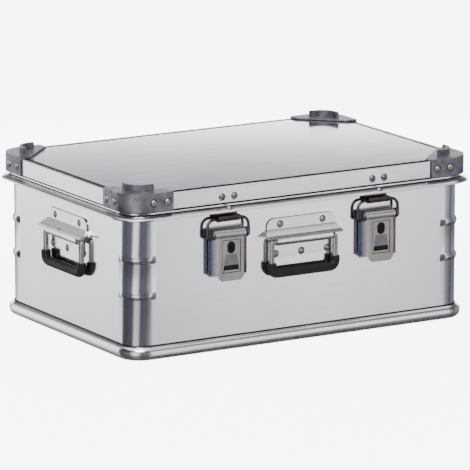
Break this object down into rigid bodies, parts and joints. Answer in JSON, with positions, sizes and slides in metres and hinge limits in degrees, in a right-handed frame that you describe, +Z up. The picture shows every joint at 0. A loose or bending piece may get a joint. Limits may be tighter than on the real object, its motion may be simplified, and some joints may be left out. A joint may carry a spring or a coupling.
{
  "type": "transport case",
  "caption": "Stackable aluminium storage case with rounded corners, a hinged lid, cast stacking corners, toggle latches and sprung drop handles.",
  "frame": {"origin": "centre of the footprint, on the floor", "axes": "+X along the length, the latches on the -Y side, +Z up"},
  "size_m": [0.59, 0.406, 0.251],
  "materials": {
    "rolled_aluminium": "satin rolled sheet",
    "extruded_aluminium": "satin extrusion",
    "cast_aluminium": "grainy pressure casting",
    "plated_steel": "nickel plated pressing",
    "dark_steel": "dark plated pressing",
    "black_rubber": "smooth moulded",
    "black_plastic": "moulded",
    "spring_steel": "drawn wire"
  },
  "bodies": {
    "case": {"body_shell": "rolled_aluminium", "bottom_panel": "rolled_aluminium", "base_frame": "extruded_aluminium", "body_rim": "extruded_aluminium", "latch_base_left": "plated_steel", "lock_keeper_left": "plated_steel", "latch_axle_left": "plated_steel", "hinge_body_leaf_left": "plated_steel", "hinge_pin_left": "plated_steel", "latch_base_right": "plated_steel", "lock_keeper_right": "plated_steel", "latch_axle_right": "plated_steel", "hinge_body_leaf_right": "plated_steel", "hinge_pin_right": "plated_steel", "handle_bracket_front": "extruded_aluminium", "handle_spring_front": "spring_steel", "handle_bracket_left": "extruded_aluminium", "handle_spring_left": "spring_steel", "handle_bracket_right": "extruded_aluminium", "handle_spring_right": "spring_steel"},
    "lid": {"lid_panel": "rolled_aluminium", "lid_frame": "extruded_aluminium", "lid_gasket": "black_rubber", "casting_front_left": "cast_aluminium", "casting_front_right": "cast_aluminium", "casting_rear_right": "cast_aluminium", "casting_rear_left": "cast_aluminium", "catch_hook_left": "dark_steel", "catch_hook_right": "dark_steel", "catch_rivet_left_1": "plated_steel", "catch_rivet_left_2": "plated_steel", "catch_rivet_left_3": "plated_steel", "catch_rivet_right_1": "plated_steel", "catch_rivet_right_2": "plated_steel", "catch_rivet_right_3": "plated_steel", "hinge_lid_leaf_left": "plated_steel", "hinge_lid_leaf_right": "plated_steel"},
    "latch_left": {"latch_lever_left": "plated_steel", "lock_bezel_left": "black_plastic", "lever_pin_left": "plated_steel"},
    "bail_left": {"latch_bail_left": "plated_steel"},
    "lock_left": {"lock_plug_left": "black_plastic"},
    "latch_right": {"latch_lever_right": "plated_steel", "lock_bezel_right": "black_plastic", "lever_pin_right": "plated_steel"},
    "bail_right": {"latch_bail_right": "plated_steel"},
    "lock_right": {"lock_plug_right": "black_plastic"},
    "handle_front": {"handle_bail_front": "plated_steel", "handle_grip_front": "black_rubber"},
    "handle_left": {"handle_bail_left": "plated_steel", "handle_grip_left": "black_rubber"},
    "handle_right": {"handle_bail_right": "plated_steel", "handle_grip_right": "black_rubber"}
  },
  "joints": [
    {"name": "lid_hinge", "type": "hinge", "parent": "case", "child": "lid", "pos_m": [0, 0.1965, 0.1985], "axis": [-1, 0, 0], "range_deg": [0, 100]},
    {"name": "latch_left_swing", "type": "hinge", "parent": "case", "child": "latch_left", "pos_m": [-0.1255, -0.1948, 0.171], "axis": [-1, 0, 0], "range_deg": [0, 110]},
    {"name": "bail_left_swing", "type": "hinge", "parent": "latch_left", "child": "bail_left", "pos_m": [-0.1255, -0.1943, 0.1655], "axis": [-1, 0, 0], "range_deg": [-97, 0]},
    {"name": "lock_left_turn", "type": "hinge", "parent": "latch_left", "child": "lock_left", "pos_m": [-0.1255, -0.2, 0.1524], "axis": [0, -1, 0], "range_deg": [0, 90]},
    {"name": "latch_right_swing", "type": "hinge", "parent": "case", "child": "latch_right", "pos_m": [0.1255, -0.1948, 0.171], "axis": [-1, 0, 0], "range_deg": [0, 110]},
    {"name": "bail_right_swing", "type": "hinge", "parent": "latch_right", "child": "bail_right", "pos_m": [0.1255, -0.1943, 0.1655], "axis": [-1, 0, 0], "range_deg": [-97, 0]},
    {"name": "lock_right_turn", "type": "hinge", "parent": "latch_right", "child": "lock_right", "pos_m": [0.1255, -0.2, 0.1524], "axis": [0, -1, 0], "range_deg": [0, 90]},
    {"name": "handle_front_swing", "type": "hinge", "parent": "case", "child": "handle_front", "pos_m": [0, -0.1932, 0.15], "axis": [-1, 0, 0], "range_deg": [0, 90], "stiffness_Nm_per_rad": 0.1, "springref_deg": -20.05},
    {"name": "handle_left_swing", "type": "hinge", "parent": "case", "child": "handle_left", "pos_m": [-0.2852, 0, 0.15], "axis": [0, 1, 0], "range_deg": [0, 90], "stiffness_Nm_per_rad": 0.1, "springref_deg": -20.05},
    {"name": "handle_right_swing", "type": "hinge", "parent": "case", "child": "handle_right", "pos_m": [0.2852, 0, 0.15], "axis": [0, -1, 0], "range_deg": [0, 90], "stiffness_Nm_per_rad": 0.1, "springref_deg": -20.05}
  ],
  "couplings": [
    {"joint": "bail_left_swing", "follows": "latch_left_swing", "ratio": -0.88},
    {"joint": "bail_right_swing", "follows": "latch_right_swing", "ratio": -0.88}
  ]
}
